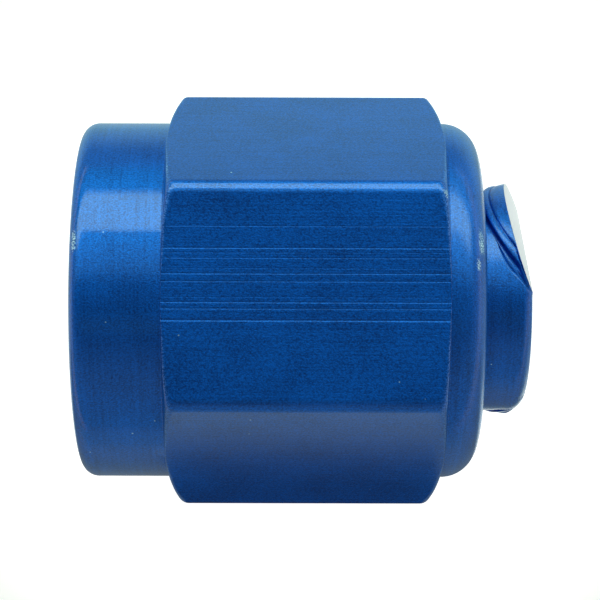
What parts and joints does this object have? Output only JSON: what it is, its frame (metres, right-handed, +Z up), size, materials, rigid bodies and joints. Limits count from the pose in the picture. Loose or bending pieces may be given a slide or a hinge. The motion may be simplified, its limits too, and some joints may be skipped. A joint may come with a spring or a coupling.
{
  "type": "threaded protection cap",
  "caption": "Hexagonal screw cap that closes a flared tube fitting: a coupling nut with an internal thread and a captive, freely turning insert with a conical seat.",
  "frame": {"origin": "on the surface that the cap lies on, under the middle of its bounding box; the thread axis runs 8.73 mm above it", "axes": "-X out of the open, threaded mouth, +X towards the staked end; +Y towards a corner of the hexagon; +Z up, square to the flat that the cap lies on"},
  "size_m": [0.0214, 0.02, 0.0175],
  "materials": {
    "nut_anodising": "satin blue anodising",
    "insert_anodising": "satin blue anodising, bare metal where it is staked"
  },
  "bodies": {
    "nut": {"coupling_nut": "nut_anodising"},
    "insert": {"sealing_insert": "insert_anodising"}
  },
  "joints": [
    {"name": "insert_swivel", "type": "hinge", "parent": "nut", "child": "insert", "pos_m": [0, 0, 0.00873], "axis": [1, 0, 0], "continuous": true}
  ]
}
